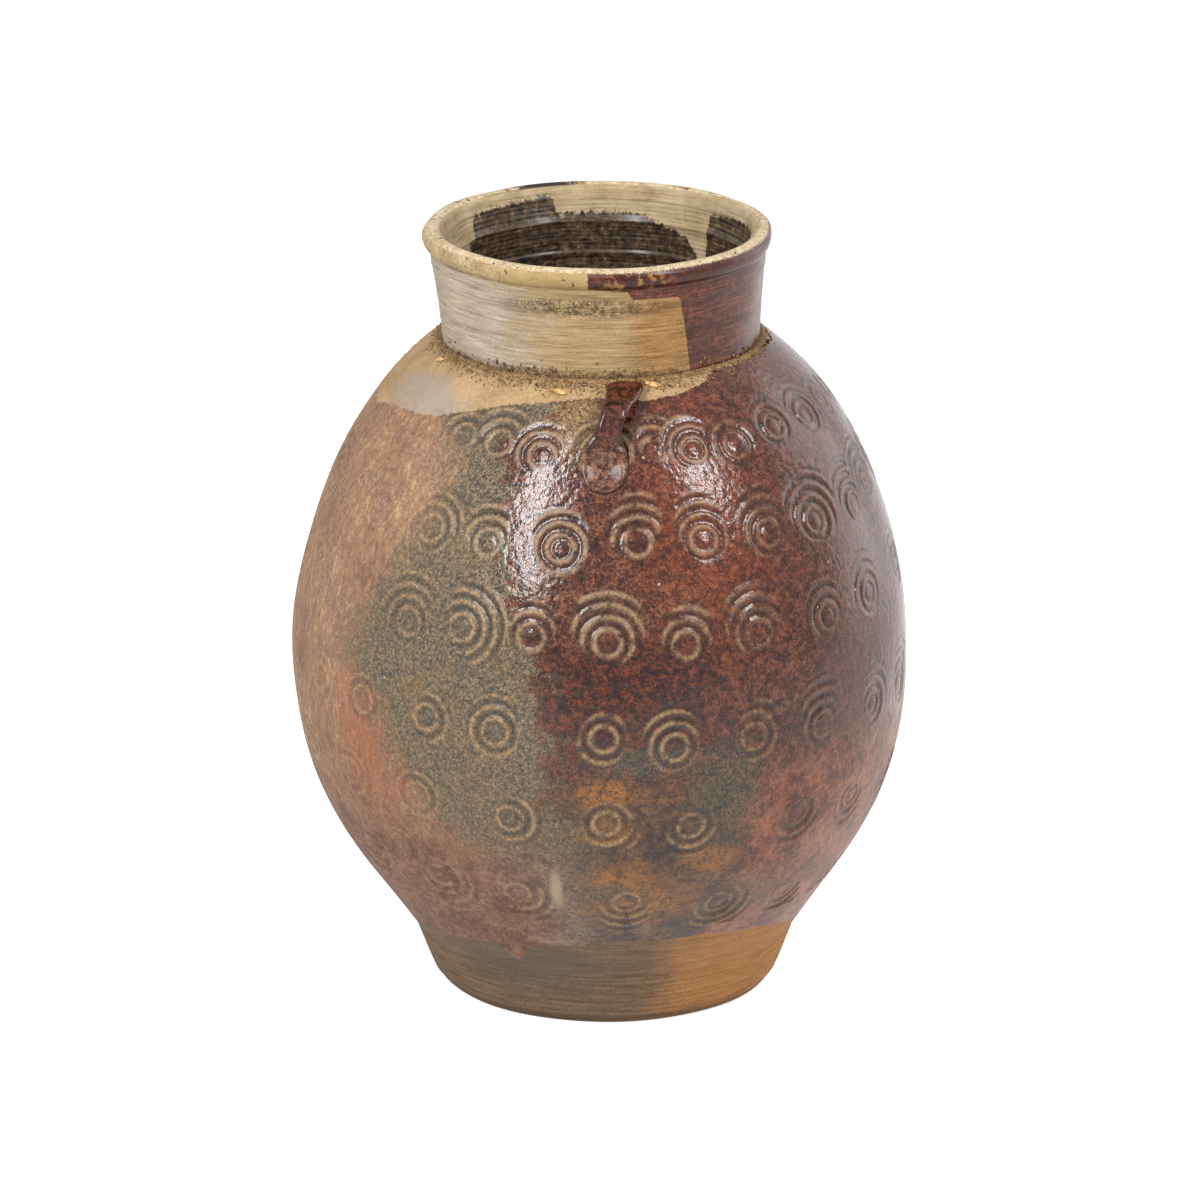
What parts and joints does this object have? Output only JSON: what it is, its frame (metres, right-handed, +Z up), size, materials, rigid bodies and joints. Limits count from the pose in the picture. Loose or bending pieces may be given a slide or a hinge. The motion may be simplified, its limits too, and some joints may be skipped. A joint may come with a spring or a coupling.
{
  "type": "storage jar",
  "caption": "Large stoneware storage jar with a collar neck, rolled lip, strap lugs for a cord and rows of pressed concentric rings on its glazed wall.",
  "frame": {"origin": "middle of the foot's underside, on the surface the jar stands on", "axes": "+Z up along the jar's axis; -Y towards the front lug; +X to the right of it"},
  "size_m": [0.3752, 0.3752, 0.48],
  "materials": {
    "glazed_body": "iron glaze over stamped stoneware, mottled brown to olive",
    "bare_foot": "bare fired stoneware with turning marks",
    "bare_neck": "bare fired stoneware, buff and grey, partly glazed",
    "glazed_lug": "iron glaze, thumb-pressed clay strap"
  },
  "bodies": {
    "root": {"base_disc": "bare_foot", "foot_ring": "bare_foot", "plain_course": "glazed_body", "stamped_course_1": "glazed_body", "stamped_course_2": "glazed_body", "stamped_course_3": "glazed_body", "stamped_course_4": "glazed_body", "stamped_course_5": "glazed_body", "stamped_course_6": "glazed_body", "neck_collar": "bare_neck", "neck_seam_roll": "bare_neck", "rolled_lip": "bare_neck", "front_lug": "glazed_lug", "back_lug": "glazed_lug"}
  },
  "joints": []
}
